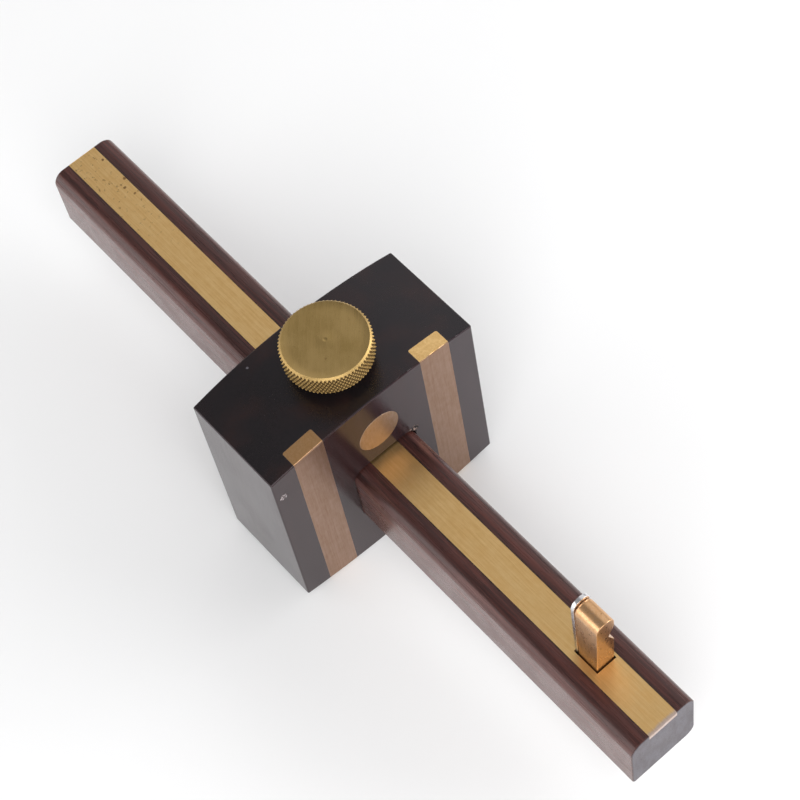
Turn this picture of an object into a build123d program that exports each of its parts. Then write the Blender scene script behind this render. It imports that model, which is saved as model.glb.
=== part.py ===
"""Wooden marking gauge with a brass-faced head, a thumb screw and a wedged knife.

The beam runs along X, the head sits across it and the thumb screw stands upright.
The origin is where the beam's centre line meets the fence, the front face of the head.
+X points along the beam to the knife, +Y across it and +Z up. All sizes are millimetres.
"""

from build123d import *
import os

# Beam: a square bar with rounded shoulders and a brass strip let into its top
beam_length = 240.0
beam_width = 21.0
beam_height = 21.0
beam_reach = 104.0  # from the fence to the knife end, as the gauge is set
beam_shoulder_radius = 3.8
beam_left_foot_radius = 0.6  # the lower edge at -Y is left nearly sharp
beam_right_foot_radius = 3.2
beam_end_ease = 0.35
strip_width = 9.2
strip_thickness = 1.8

# Head: a crowned hardwood block with two brass wear strips let into the fence
head_width = 66.8
head_thickness = 32.0  # at the sides
head_above_beam = 24.8  # from the beam's top up to the head's upper corners
head_below_beam = 17.0  # from the beam's underside down to the lower corners
crown_rise = 2.6  # the top and the bottom stand this much proud in the middle
back_bulge = 1.1  # and the back face this much
head_edge_ease = 0.45
wear_strip_width = 9.5
wear_strip_depth = 4.8
wear_strip_spacing = 41.8  # between the middles of the two strips
wear_strip_corner_radius = 0.5

# Room for the beam in the head's mortise
beam_side_clearance = 0.2
beam_top_clearance = 0.8
beam_seat_clearance = 0.03  # the clamped beam lies on the mortise floor

# Clamp: knurled knob on a screw, which runs in a round nut set in from the fence
knob_diameter = 24.4
knob_thickness = 6.9
knob_chamfer = 0.85
knob_gap = 3.8  # from the crown of the head up to the knob, when clamped
screw_diameter = 6.0
screw_socket_depth = 5.0
screw_hole_clearance = 0.3
thread_clearance = 0.06
nut_diameter = 13.0
nut_overhang = 8.0  # how far the nut runs on behind the screw
nut_face_chamfer = 0.12

# Shoe: a round pad that the screw's tip turns in and that bears on the strip
shoe_diameter = 9.0
shoe_thickness = 2.2
shoe_seat_clearance = 0.02
shoe_guide_clearance = 0.1
shoe_chamfer = 0.3
shoe_lift = 2.75  # travel from clamped up to the nut, which stops it
shoe_stop_clearance = 0.03
tip_diameter = 4.0
tip_length = 1.4
tip_clearance = 0.05

# Knife and wedge, side by side in a mortise through the beam
knife_reach = 75.2  # from the fence to the near face of the knife
knife_thickness = 1.0
knife_width = 5.6
knife_above_beam = 27.0
knife_below_beam = 3.5
knife_bevel_height = 3.2
knife_edge_land = 0.06
wedge_thickness = 7.0  # at the level of the beam's top
wedge_width = 5.7
wedge_above_beam = 26.0
wedge_below_beam = 0.6
wedge_taper = 1.0 / 24.0
wedge_notch_top = 20.6  # the notch in one side, measured up from the beam's top
wedge_notch_middle = 16.6
wedge_notch_bottom = 12.4
wedge_notch_depth = 1.8
wedge_edge_chamfer = 0.35
mortise_offset = 0.7  # the knife's mortise stands this much to one side
mortise_side_clearance = 0.3
strip_window_clearance = 0.35
wedge_seat_clearance = 0.03
knife_seat_clearance = 0.03

# Levels and places worked out from the sizes above
beam_top = beam_height / 2
beam_bottom = -beam_height / 2
head_top = beam_top + head_above_beam
head_bottom = beam_bottom - head_below_beam
head_crown = head_top + crown_rise
head_keel = head_bottom - crown_rise
head_back = -(head_thickness + back_bulge)
screw_x = -head_thickness / 2
nut_back = screw_x - nut_overhang
shoe_bottom = beam_top + shoe_seat_clearance
shoe_top = shoe_bottom + shoe_thickness
nut_z = shoe_top + shoe_lift + shoe_stop_clearance + nut_diameter / 2
knob_bottom = head_crown + knob_gap
knife_front = knife_reach + knife_thickness
wedge_back = knife_front + knife_seat_clearance
reach_past_head = head_crown - head_keel  # a length that passes any face of the head


def box_between(low, high):
    """A box given by its lowest and highest corners."""
    size = [b - a for a, b in zip(low, high)]
    middle = [(a + b) / 2 for a, b in zip(low, high)]
    return Pos(*middle) * Box(*size)


def rod_along_x(diameter, x_low, x_high, z):
    """A round rod along X at height z."""
    length = x_high - x_low
    return Pos((x_low + x_high) / 2, 0, z) * Rot(0, 90, 0) * Cylinder(diameter / 2, length)


def rod_along_z(diameter, x, z_low, z_high):
    """An upright round rod on the XZ plane."""
    return Pos(x, 0, (z_low + z_high) / 2) * Cylinder(diameter / 2, z_high - z_low)


def crowned_block():
    """The head's outer shape, strips and all: crowned top, bottom and back, eased edges."""
    half = head_width / 2
    front_outline = make_face(
        Curve()
        + [
            Line((-half, head_bottom), (-half, head_top)),
            ThreePointArc((-half, head_top), (0, head_crown), (half, head_top)),
            Line((half, head_top), (half, head_bottom)),
            ThreePointArc((half, head_bottom), (0, head_keel), (-half, head_bottom)),
        ]
    )
    plan_outline = make_face(
        Curve()
        + [
            Line((0, -half), (0, half)),
            Line((0, half), (-head_thickness, half)),
            ThreePointArc((-head_thickness, half), (head_back, 0), (-head_thickness, -half)),
            Line((-head_thickness, -half), (0, -half)),
        ]
    )
    front_prism = extrude(Plane.YZ * front_outline, amount=head_back * 2, both=True)
    plan_prism = extrude(plan_outline, amount=reach_past_head, both=True)
    block = front_prism & plan_prism
    return fillet(block.edges(), head_edge_ease)


def wear_strip_bar(side):
    """The bar of brass behind one wear strip, square in front and rounded behind."""
    profile = RectangleRounded(wear_strip_depth * 2, wear_strip_width, wear_strip_corner_radius)
    bar = extrude(profile, amount=reach_past_head, both=True)
    return Pos(0, side * wear_strip_spacing / 2, 0) * bar


def rounded_section(width, height):
    """The beam's section, across and up, with rounded shoulders and uneven feet."""
    outline = Rectangle(width, height)
    corners = [
        (-1, 1, beam_shoulder_radius),
        (1, 1, beam_shoulder_radius),
        (-1, -1, beam_left_foot_radius),
        (1, -1, beam_right_foot_radius),
    ]
    for side, rise, radius in corners:
        corner = outline.vertices().sort_by(Axis((0, 0, 0), (side * height, rise * width, 0)))[-1]
        outline = fillet(corner, radius)
    return outline


def beam_mortise():
    """The hole through the head that the beam slides in."""
    width = beam_width + 2 * beam_side_clearance
    low = beam_bottom - beam_seat_clearance
    high = beam_top + beam_top_clearance
    outline = rounded_section(width, high - low)
    hole = extrude(Plane.YZ * outline, amount=2 * head_back, both=True)
    return Pos(0, 0, (low + high) / 2) * hole


def screw_holes():
    """The holes in the head for the nut, the screw and the shoe."""
    nut_bore = rod_along_x(nut_diameter, nut_back, head_thickness, nut_z)
    hole_diameter = screw_diameter + 2 * screw_hole_clearance
    screw_bore = rod_along_z(hole_diameter, screw_x, beam_top, reach_past_head)
    pocket_diameter = shoe_diameter + 2 * shoe_guide_clearance
    shoe_pocket = rod_along_z(pocket_diameter, screw_x, beam_top, nut_z)
    return nut_bore + screw_bore + shoe_pocket


def make_head_block():
    """The hardwood block, cut for the strips, the beam, the nut, the screw and the shoe."""
    block = crowned_block() - wear_strip_bar(-1) - wear_strip_bar(1)
    return block - beam_mortise() - screw_holes()


def make_wear_strip(side):
    """One brass wear strip, trimmed level with the block all round."""
    return crowned_block() & wear_strip_bar(side)


def make_barrel_nut():
    """The round nut: its front end shows in the fence and the screw runs across it."""
    nut = rod_along_x(nut_diameter, nut_back, 0, nut_z)
    nut = chamfer(nut.edges().filter_by(GeomType.CIRCLE), nut_face_chamfer)
    tapped_diameter = screw_diameter + 2 * thread_clearance
    return nut - rod_along_z(tapped_diameter, screw_x, nut_z - nut_diameter, nut_z + nut_diameter)


def make_thumb_knob():
    """The knob, chamfered at both ends, with a blind hole for the screw."""
    knob_top = knob_bottom + knob_thickness
    knob = rod_along_z(knob_diameter, screw_x, knob_bottom, knob_top)
    knob = chamfer(knob.edges().filter_by(GeomType.CIRCLE), knob_chamfer)
    return knob - rod_along_z(screw_diameter, screw_x, head_crown, knob_bottom + screw_socket_depth)


def make_thumb_screw_shank():
    """The screw, fast in the knob above and turned down below to swivel in the shoe."""
    shoulder = shoe_top + shoe_seat_clearance
    shank = rod_along_z(screw_diameter, screw_x, shoulder, knob_bottom + screw_socket_depth)
    return shank + rod_along_z(tip_diameter, screw_x, shoulder - tip_length, shoulder)


def make_pressure_shoe():
    """The pad under the screw, with a blind hole for its tip."""
    shoe = rod_along_z(shoe_diameter, screw_x, shoe_bottom, shoe_top)
    shoe = chamfer(shoe.edges().filter_by(GeomType.CIRCLE), shoe_chamfer)
    hole_diameter = tip_diameter + 2 * tip_clearance
    hole_bottom = shoe_top - tip_length
    return shoe - rod_along_z(hole_diameter, screw_x, hole_bottom, shoe_top + tip_length)


def whole_bar():
    """The beam's outer shape, strip and all, with eased ends."""
    bar = extrude(Plane.YZ * rounded_section(beam_width, beam_height), amount=beam_length)
    bar = Pos(beam_reach - beam_length, 0, 0) * bar
    ends = bar.faces().sort_by(Axis.X)
    return chamfer(ends[0].edges() + ends[-1].edges(), beam_end_ease)


def strip_space():
    """The groove along the beam's top that the strip fills."""
    half = strip_width / 2
    low = (beam_reach - 2 * beam_length, -half, beam_top - strip_thickness)
    high = (beam_reach + beam_length, half, beam_top + strip_thickness)
    return box_between(low, high)


def wedge_front(z):
    """Where the wedge's sloping front face lies at height z."""
    return wedge_back + wedge_thickness + (z - beam_top) * wedge_taper


def knife_mortise():
    """The slot through the beam: upright behind the knife and sloping before the wedge."""
    low = beam_bottom - beam_height
    high = beam_top + beam_height
    back = knife_reach - knife_seat_clearance
    corners = [
        (back, low),
        (wedge_front(low) + wedge_seat_clearance, low),
        (wedge_front(high) + wedge_seat_clearance, high),
        (back, high),
    ]
    half = wedge_width / 2 + mortise_side_clearance
    slot = extrude(Plane.XZ * make_face(Polyline(*corners, close=True)), amount=half, both=True)
    return Pos(0, mortise_offset, 0) * slot


def strip_window():
    """The opening in the strip, a little roomier than the mortise below it."""
    half = wedge_width / 2 + strip_window_clearance
    low = (knife_reach - knife_seat_clearance, mortise_offset - half, 0)
    front = wedge_front(beam_top) + strip_window_clearance
    return box_between(low, (front, mortise_offset + half, beam_height))


def make_beam():
    """The hardwood beam, grooved for the strip and slotted for the knife and wedge."""
    return whole_bar() - strip_space() - knife_mortise()


def make_beam_strip():
    """The brass strip, trimmed level with the beam and with its window cut."""
    return (whole_bar() & strip_space()) - strip_window()


def make_knife():
    """The steel knife: a thin plate with a rounded top and a rounded, bevelled cutting end."""
    half = knife_width / 2
    top = beam_top + knife_above_beam
    tip = beam_bottom - knife_below_beam
    outline = SlotOverall(top - tip, knife_width, rotation=90)
    plate = extrude(Plane.YZ * outline, amount=knife_thickness)
    plate = Pos(knife_reach, mortise_offset, (top + tip) / 2) * plate
    bevel = Polyline(
        (knife_reach, tip + knife_bevel_height),
        (knife_front - knife_edge_land, tip),
        (knife_reach - knife_thickness, tip),
        (knife_reach - knife_thickness, tip + knife_bevel_height),
        close=True,
    )
    waste = extrude(Plane.XZ * make_face(bevel), amount=half * 2, both=True)
    return plate - waste


def make_wedge():
    """The brass wedge: a tapered bar with a round head and a notch below it on one side."""
    half = wedge_width / 2
    top = beam_top + wedge_above_beam
    bottom = beam_bottom - wedge_below_beam
    spring = top - half
    notch = half - wedge_notch_depth
    front_outline = make_face(
        Curve()
        + [
            Line((-half, bottom), (-half, spring)),
            ThreePointArc((-half, spring), (0, top), (half, spring)),
            Polyline(
                (half, spring),
                (half, beam_top + wedge_notch_top),
                (notch, beam_top + wedge_notch_middle),
                (half, beam_top + wedge_notch_bottom),
                (half, bottom),
                (-half, bottom),
            ),
        ]
    )
    side_outline = Polyline(
        (wedge_back, bottom),
        (wedge_front(bottom), bottom),
        (wedge_front(top), top),
        (wedge_back, top),
        close=True,
    )
    upright = extrude(Plane.YZ * front_outline, amount=beam_length)
    tapered = extrude(Plane.XZ * make_face(side_outline), amount=wedge_width, both=True)
    wedge = upright & tapered
    front_face = wedge.faces().sort_by(Axis.X)[-1]
    wedge = chamfer(front_face.edges(), wedge_edge_chamfer)
    return Pos(0, mortise_offset, 0) * wedge


PIECES = {
    "head_block": make_head_block,
    "wear_strip_left": lambda: make_wear_strip(-1),
    "wear_strip_right": lambda: make_wear_strip(1),
    "barrel_nut": make_barrel_nut,
    "thumb_knob": make_thumb_knob,
    "thumb_screw_shank": make_thumb_screw_shank,
    "pressure_shoe": make_pressure_shoe,
    "beam": make_beam,
    "beam_strip": make_beam_strip,
    "knife": make_knife,
    "wedge": make_wedge,
}

os.makedirs("parts", exist_ok=True)
for name, make in PIECES.items():
    piece = make()
    piece.label = name
    export_step(piece, f"parts/{name}.step")
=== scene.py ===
"""Looks of a wooden marking gauge: its woods, brasses and steel, and the finely shaped small pieces.

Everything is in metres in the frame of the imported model: +X along the beam to the knife,
+Y across it, +Z up, with the origin where the beam's centre line meets the fence.
"""

import math

import bmesh
import bpy
import numpy as np
from bpy.props import FloatProperty, FloatVectorProperty, IntProperty, PointerProperty
from mathutils import Matrix, Vector


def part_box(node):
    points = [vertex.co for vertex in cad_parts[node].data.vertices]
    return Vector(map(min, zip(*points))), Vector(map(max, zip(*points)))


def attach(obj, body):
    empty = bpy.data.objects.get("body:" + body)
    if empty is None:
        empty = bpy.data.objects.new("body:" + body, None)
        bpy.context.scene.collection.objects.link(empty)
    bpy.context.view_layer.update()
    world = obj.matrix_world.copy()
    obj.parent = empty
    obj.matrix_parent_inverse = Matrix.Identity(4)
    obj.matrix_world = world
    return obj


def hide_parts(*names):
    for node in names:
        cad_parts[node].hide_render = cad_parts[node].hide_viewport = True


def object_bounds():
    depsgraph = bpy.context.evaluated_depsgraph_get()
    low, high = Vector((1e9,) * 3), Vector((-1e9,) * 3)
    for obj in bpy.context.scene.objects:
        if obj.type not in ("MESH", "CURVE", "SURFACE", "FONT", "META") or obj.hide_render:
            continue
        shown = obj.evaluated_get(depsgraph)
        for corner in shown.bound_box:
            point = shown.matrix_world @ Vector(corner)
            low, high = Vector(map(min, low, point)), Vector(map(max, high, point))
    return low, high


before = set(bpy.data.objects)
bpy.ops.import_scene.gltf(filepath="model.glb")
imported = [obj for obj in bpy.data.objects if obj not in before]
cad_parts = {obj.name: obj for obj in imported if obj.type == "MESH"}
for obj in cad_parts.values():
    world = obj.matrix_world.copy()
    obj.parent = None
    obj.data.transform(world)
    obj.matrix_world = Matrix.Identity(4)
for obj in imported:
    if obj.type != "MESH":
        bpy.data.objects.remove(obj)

bl_info = {
    "name": "Marking gauge",
    "version": (1, 0, 0),
    "blender": (4, 5, 0),
    "location": "3D View > Sidebar > Marking gauge",
    "description": "Shapes and finishes of a marking gauge around its fixed frame",
    "category": "Object",
}

MM = 0.001
CAD_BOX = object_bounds()
ORIGIN = (0.0, 0.0, 0.0)

# Where things are, read from the frame
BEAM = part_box("beam")
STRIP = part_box("beam_strip")
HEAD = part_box("head_block")
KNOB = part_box("thumb_knob")
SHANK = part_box("thumb_screw_shank")
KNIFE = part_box("knife")
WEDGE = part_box("wedge")

# Marks: a place in millimetres, a radius and a raggedness
# DING_AND_GLINT is a small dent; its pale colour is a painted glint
DING_AND_GLINT = ((0.0, HEAD[0].y / MM + 2.4, HEAD[1].z / MM - 11.1), 1.3, 1.7)
CHIP = ((0.0, BEAM[1].y / MM - 0.6, BEAM[1].z / MM - 0.6), 1.9, 1.9)
SPECK = ((-30.0, -16.5, HEAD[1].z / MM - 0.9), 0.5, 1.2)

# Brown spots near the rear of the beam's strip: distance from its end, place across it and radius
STRIP_SPOTS = ((5.9, 3.7, 0.45), (15.7, 4.3, 0.55), (18.4, 2.3, 0.50), (22.0, 3.3, 0.35))

# The red band along the beam's sides: its height and how far it sways, in millimetres
BAND_HEIGHT = 4.6
BAND_SWAY = 3.4

# Colours of pores, lines, marks, worn edges, painted shade and a painted glint, in linear red, green
# and blue
EBONY_LINE = (0.010, 0.007, 0.008)
EBONY_PORE = (0.004, 0.003, 0.003)
EBONY_WEAR = (0.10, 0.075, 0.07)
CHIP_COLOURS = ((0.004, 0.002, 0.002), (0.34, 0.24, 0.20))
# Dark speckle and pale painted glint of the dent
DING_AND_GLINT_COLOURS = ((0.10, 0.08, 0.08), (0.62, 0.56, 0.57))
SPECK_COLOUR = (0.16, 0.15, 0.17)
ROSEWOOD_PORE = (0.012, 0.006, 0.006)
ROSEWOOD_WEAR = (0.16, 0.10, 0.09)
GLUE = (0.007, 0.0045, 0.004)
END_RING = (0.05, 0.035, 0.035)
END_PORE = (0.03, 0.02, 0.02)
# Painted shade in the knurl's grooves
KNURL_SHADE = (0.050, 0.024, 0.009)
STEEL_STAIN = (0.16, 0.13, 0.12)
STEEL_WEAR = (0.88, 0.87, 0.88)

# Shares of red, green and blue that shade or brighten a metal
MOTTLE_SHARES = (0.93, 0.90, 0.85)
BRIGHT_SHARES = (1.06, 1.10, 1.18)
SHADED_SHARES = (0.90, 0.87, 0.81)
KNOB_DARKER = (0.80, 0.78, 0.70)
KNOB_LIGHTER = (1.12, 1.12, 1.2)
STEEL_DARKER = 0.72

# Patterns: how many repeats to a millimetre, and what share of the surface is pores or specks
EBONY_GRAIN = {"Line Scale": 1.1, "Figure Scale": 0.07, "Pore Scale": 5.0, "Pore Share": 0.34}
ROSEWOOD_GRAIN = {"Line Scale": 1.5, "Figure Scale": 0.30, "Pore Scale": 5.0, "Pore Share": 0.42}
BRASS_RUB = {"Scratch Scale": 6.5, "Mottle Scale": 0.4, "Speck Scale": 0.75}
KNOB_RUB = {"Scratch Scale": 3.2, "Mottle Scale": 0.12, "Speck Scale": 0.8, "Speck Share": 0.28}
STEEL_RUB = {"Scratch Scale": 7.0, "Mottle Scale": 0.5, "Speck Scale": 1.1, "Speck Share": 0.16}

# Rubbed brasses: the stretch of their scratches, their roughness and their share of tarnish
UPRIGHT_RUB = ((1.0, 1.0, 0.04), 0.36, 0.22)
RUBBED = {
    "brass_strip": ((0.035, 1.0, 1.0), 0.34, 0.34),
    "brass_fence_left": UPRIGHT_RUB,
    "brass_fence_right": UPRIGHT_RUB,
    "brass_nut": ((0.4, 1.0, 0.3), 0.44, 0.24),
    "brass_screw": ((0.3, 0.3, 1.0), 0.28, 0.26),
    "brass_wedge": ((1.0, 1.0, 0.12), 0.30, 0.30),
}

# The room: its tint, the direction of its pale wall, and soft lights, each with its direction,
# distance and size in metres, and its power in watts
ROOM_TINT = (0.99, 0.99, 1.0)
FLOOR_SHADE = 0.985
PALE_WALL = Vector((-0.25, 0.925, 0.277)).normalized()
SOFTBOXES = {
    "left_softbox": ((-0.52, -0.83, 0.30), 1.2, (1.3, 0.8), 6.5),
    "right_softbox": ((0.44, 0.84, 0.34), 1.2, (1.2, 0.7), 11.0),
    "front_softbox": ((0.70, -0.45, 0.85), 1.3, (1.1, 1.1), 13.0),
}


def middle(box):
    """The middle of a box given by its two corners."""
    return (box[0] + box[1]) / 2


# ---- what a user can change


def length(name, description, millimetres):
    """A length property, given in millimetres."""
    settings = {"default": millimetres * MM, "min": 0.0, "unit": "LENGTH", "precision": 5}
    return FloatProperty(name=name, description=description, **settings)


def degrees(name, description, value):
    """An angle property, given in degrees."""
    settings = {"default": math.radians(value), "subtype": "ANGLE"}
    return FloatProperty(name=name, description=description, **settings)


def amount(name, description, value, least=0.0):
    """A plain number property."""
    return FloatProperty(name=name, description=description, default=value, min=least)


def colour(name, description, rgb):
    """A colour property, in linear red, green and blue."""
    return FloatVectorProperty(
        name=name, description=description, default=rgb, size=3, min=0.0, max=1.0, subtype="COLOR"
    )


class GaugeSizes(bpy.types.PropertyGroup):
    """Small sizes of the pieces shaped here."""

    knurl_count: IntProperty(name="Knurl teeth", description="Teeth round the knob", default=72, min=12)
    knurl_stretch: amount("Knurl stretch", "Height of a knurl diamond over its width", 1.6, 0.5)
    knurl_depth: length("Knurl depth", "Depth of the knurl's grooves", 0.48)
    knob_chamfer: length("Knob chamfer", "Width of the turned chamfers on the knob", 0.85)
    knob_edge: length("Knob edge", "Break on the edge of the knob's face", 0.07)
    knob_face_drop: length("Face drop", "Drop of the knob's face under its rim", 0.03)
    pip_radius: length("Centre mark", "Radius of the centre mark on the knob's face", 0.5)
    pip_depth: length("Centre mark depth", "Depth of the centre mark", 0.03)
    thread_pitch: length("Thread pitch", "Rise of the thread in one turn", 1.0)
    thread_depth: length("Thread depth", "Depth of the thread", 0.5)
    thread_runout: length("Thread run-out", "Length over which the thread dies out at its ends", 1.0)
    tip_diameter: length("Tip diameter", "Turned-down tip of the screw", 4.0)
    tip_length: length("Tip length", "Length of the turned-down tip", 1.4)
    wedge_taper: amount("Wedge taper", "Slope of the wedge's front face", 1.0 / 24.0)
    wedge_edge: length("Wedge edge", "Rounding round the wedge's front face", 0.16)
    wedge_back_edge: length("Wedge back edge", "Rounding round the wedge's back face", 0.7)
    notch_top: length("Notch top", "Top of the wedge's notch, above the beam", 20.6)
    notch_middle: length("Notch middle", "Bottom of the notch's V, above the beam", 16.6)
    notch_bottom: length("Notch bottom", "Lower end of the notch, above the beam", 12.4)
    notch_depth: length("Notch depth", "Depth of the wedge's notch", 1.8)
    knife_edge: length("Knife edge break", "Rounding round the knife's faces", 0.1)
    bevel_height: length("Bevel height", "Height of the knife's bevel", 3.2)
    bevel_land: length("Cutting edge", "Thickness left at the knife's cutting edge", 0.06)


class GaugeColours(bpy.types.PropertyGroup):
    """Colours of the finishes."""

    ebony: colour("Ebony", "End grain on the head's top and bottom", (0.0058, 0.0046, 0.0050))
    ebony_side: colour("Ebony side", "Long grain on the head's sides", (0.0270, 0.0145, 0.0175))
    ebony_warm: colour("Ebony figure", "Red-brown figure in the head", (0.024, 0.0085, 0.0062))
    rosewood: colour("Rosewood", "Ground colour of the beam", (0.056, 0.0185, 0.0150))
    rosewood_dark: colour("Rosewood lines", "Dark growth lines of the beam", (0.0290, 0.0120, 0.0108))
    rosewood_red: colour("Rosewood streaks", "Red streaks of the beam", (0.110, 0.034, 0.026))
    # Beam sides: lighter than the top as a painted reflection of the pale floor
    rosewood_side_lit: colour("Rosewood side", "Dulled grain on the beam's sides", (0.150, 0.072, 0.063))
    rosewood_band: colour("Rosewood band", "Red band along the beam's sides", (0.240, 0.060, 0.045))
    # Base of the beam's ends: sanded end grain, its pale bluish grey partly a painted reflection
    end_grain_and_sheen: colour("End grain", "Sanded end grain of the beam", (0.128, 0.125, 0.142))
    strip_brass: colour("Strip brass", "Rubbed brass of the strips", (0.90, 0.59, 0.25))
    # Left fence strip: darker brass as painted shade, its ends facing darker surroundings
    left_brass_shaded: colour("Handled brass", "Browner ends of the left fence strip", (0.62, 0.36, 0.17))
    # Fence-face brass: rubbed dull, and darker still as painted shade of the shadowed floor it faces
    fence_brass_dull_and_shaded: colour("Fence brass", "Dull brass on the face of the fence", (0.345, 0.216, 0.150))
    strip_end: colour("Strip end", "Sanded end of the beam's strip", (0.70, 0.55, 0.48))
    nut_brass: colour("Nut brass", "Reddish brass of the barrel nut", (0.48, 0.34, 0.245))
    turned_brass: colour("Turned brass", "Yellow brass of the knob", (0.47, 0.32, 0.125))
    wedge_brass: colour("Wedge brass", "Polished brass of the wedge", (0.72, 0.43, 0.225))
    tarnish: colour("Tarnish", "Brown tarnish in the brass", (0.20, 0.105, 0.040))
    steel: colour("Steel", "Ground steel of the knife", (0.92, 0.91, 0.93))
    floor: colour("Floor", "Pale floor", (0.90, 0.90, 0.90))


class GaugeStage(bpy.types.PropertyGroup):
    """Camera and lights."""

    azimuth: degrees("Azimuth", "Camera's bearing", 60.47)
    elevation: degrees("Elevation", "Camera's height angle", 59.42)
    roll: degrees("Roll", "Turn of the camera about its view", 12.95)
    distance: length("Distance", "From the camera to the point it looks at", 595.85)
    aim: FloatVectorProperty(
        name="Aim",
        description="Point the camera looks at",
        default=(-0.01448, 0.01626, 0.0),
        subtype="XYZ",
    )
    lens: amount("Lens", "Focal length in millimetres", 99.17, 10.0)
    sky: amount("Sky", "Brightness of the room round the object", 0.30)
    window: amount("Window", "Added brightness of the pale wall", 0.55)


# ---- meshes from whole arrays


def ring_faces(rings, columns):
    """Quads between neighbouring rings of a wrapped grid, ring after ring."""
    ring, column = np.meshgrid(np.arange(rings - 1), np.arange(columns), indexing="ij")
    here = ring * columns + column
    following = ring * columns + (column + 1) % columns
    corners = (here, following, following + columns, here + columns)
    return np.stack(corners, axis=-1).reshape(-1, 4)


def pole_faces(first, columns, pole):
    """A fan of triangles from a ring that starts at index first to a single pole point."""
    column = np.arange(columns)
    corners = (first + column, first + (column + 1) % columns, np.full(columns, pole))
    return np.stack(corners, axis=-1)


def add_object(name, points, faces, finish, sharp_angle, flat=None):
    """Makes a mesh of points and faces, turned outwards and shaded smooth but for the flat faces."""
    mesh = bpy.data.meshes.new(name)
    mesh.from_pydata(points.tolist(), [], [face.tolist() for group in faces for face in group])
    shape = bmesh.new()
    shape.from_mesh(mesh)
    bmesh.ops.recalc_face_normals(shape, faces=shape.faces)
    shape.to_mesh(mesh)
    shape.free()
    smooth = np.ones(len(mesh.polygons), bool)
    if flat is not None:
        smooth[flat] = False
    mesh.polygons.foreach_set("use_smooth", smooth)
    mesh.set_sharp_from_angle(angle=math.radians(sharp_angle))
    mesh.materials.append(finish)
    made = bpy.data.objects.new(name, mesh)
    bpy.context.scene.collection.objects.link(made)
    return made


def add_piece(name, points, faces, finish, body, nodes, sharp_angle, flat=None):
    """Adds a piece of the gauge, hangs it on its body and lets it stand for nodes of the frame."""
    piece = add_object(name, points, faces, finish, sharp_angle, flat)
    weighted = piece.modifiers.new("flat_faces_stay_flat", "WEIGHTED_NORMAL")
    weighted.weight = 100
    weighted.keep_sharp = True
    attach(piece, body)
    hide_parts(*nodes)


def finish_nodes(finish, *nodes):
    """Gives carried-over nodes of the frame a finish."""
    for name in nodes:
        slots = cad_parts[name].data.materials
        slots.clear()
        slots.append(finish)


# ---- shader helpers


def put(tree, kind, sockets=None, **settings):
    """Adds a node. Each socket is given a value or another node's output."""
    made = tree.nodes.new("ShaderNode" + kind)
    for name, value in settings.items():
        setattr(made, name, value)
    for name, value in (sockets or {}).items():
        if isinstance(value, bpy.types.NodeSocket):
            tree.links.new(value, made.inputs[name])
        else:
            made.inputs[name].default_value = value
    return made


def rgba(value):
    """A colour as a socket wants it. Another node's output stays as it is."""
    return value if isinstance(value, bpy.types.NodeSocket) else (*value, 1.0)


def maths(tree, operation, first, second=0.0, third=0.0):
    """One sum on values."""
    return put(tree, "Math", {0: first, 1: second, 2: third}, operation=operation).outputs[0]


def spread(tree, value, low, high, new_low=0.0, new_high=1.0):
    """Stretches the range low to high of a value smoothly over a new range."""
    sockets = {0: value, 1: low, 2: high, 3: new_low, 4: new_high}
    return put(tree, "MapRange", sockets, interpolation_type="SMOOTHSTEP").outputs[0]


def blend(tree, mask, under, over, share=None, kind="MIX"):
    """Lays one colour over another where a mask says, at a share of full strength."""
    if share is not None:
        mask = maths(tree, "MULTIPLY", mask, share)
    sockets = {0: mask, 6: rgba(under), 7: rgba(over)}
    return put(tree, "Mix", sockets, data_type="RGBA", blend_type=kind).outputs[2]


def tinted(tree, shade, shares):
    """A colour with its red, green and blue multiplied by shares."""
    return blend(tree, 1.0, shade, shares, kind="MULTIPLY")


def noise(tree, vector, scale, detail=3.0, roughness=0.5, distortion=0.0):
    """The value of a noise pattern."""
    sockets = {"Vector": vector, "Scale": scale, "Detail": detail, "Roughness": roughness}
    return put(tree, "TexNoise", {**sockets, "Distortion": distortion}).outputs[0]


def placed(tree, stretch=(1.0, 1.0, 1.0), offset=ORIGIN, turn=0.0):
    """Object coordinates in millimetres, turned about Z and then stretched."""
    coordinates = put(tree, "TexCoord").outputs["Object"]
    sockets = {"Vector": coordinates, "Rotation": (0.0, 0.0, math.radians(turn))}
    turned = put(tree, "Mapping", sockets).outputs[0]
    sockets = {"Vector": turned, "Scale": tuple(value / MM for value in stretch), "Location": offset}
    return put(tree, "Mapping", sockets).outputs[0]


def facing(tree, axis):
    """How squarely the surface faces along an axis of the object, either way: 0 to 1."""
    normal = put(tree, "TexCoord").outputs["Normal"]
    return maths(tree, "ABSOLUTE", put(tree, "SeparateXYZ", {0: normal}).outputs[axis])


def bump(tree, height, distance, strength=1.0, normal=None):
    """A bump whose height is in millimetres of relief."""
    sockets = {"Height": height, "Distance": distance * MM, "Strength": strength}
    if normal is not None:
        sockets["Normal"] = normal
    return put(tree, "Bump", sockets).outputs[0]


def new_group(name, inputs, outputs):
    """A node group and its two end nodes. Inputs come with usual values, outputs are plain numbers."""
    tree = bpy.data.node_groups.new(name, "ShaderNodeTree")
    for label, value in inputs.items():
        kind = "NodeSocketVector" if isinstance(value, tuple) else "NodeSocketFloat"
        tree.interface.new_socket(label, in_out="INPUT", socket_type=kind).default_value = value
    for label in outputs:
        tree.interface.new_socket(label, in_out="OUTPUT", socket_type="NodeSocketFloat")
    start = tree.nodes.new("NodeGroupInput")
    end = tree.nodes.new("NodeGroupOutput")
    return tree, start.outputs, end.inputs


def use_group(tree, name, sockets):
    """Places a node group in a material with its own values."""
    return put(tree, "Group", sockets, node_tree=bpy.data.node_groups[name]).outputs


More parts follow.
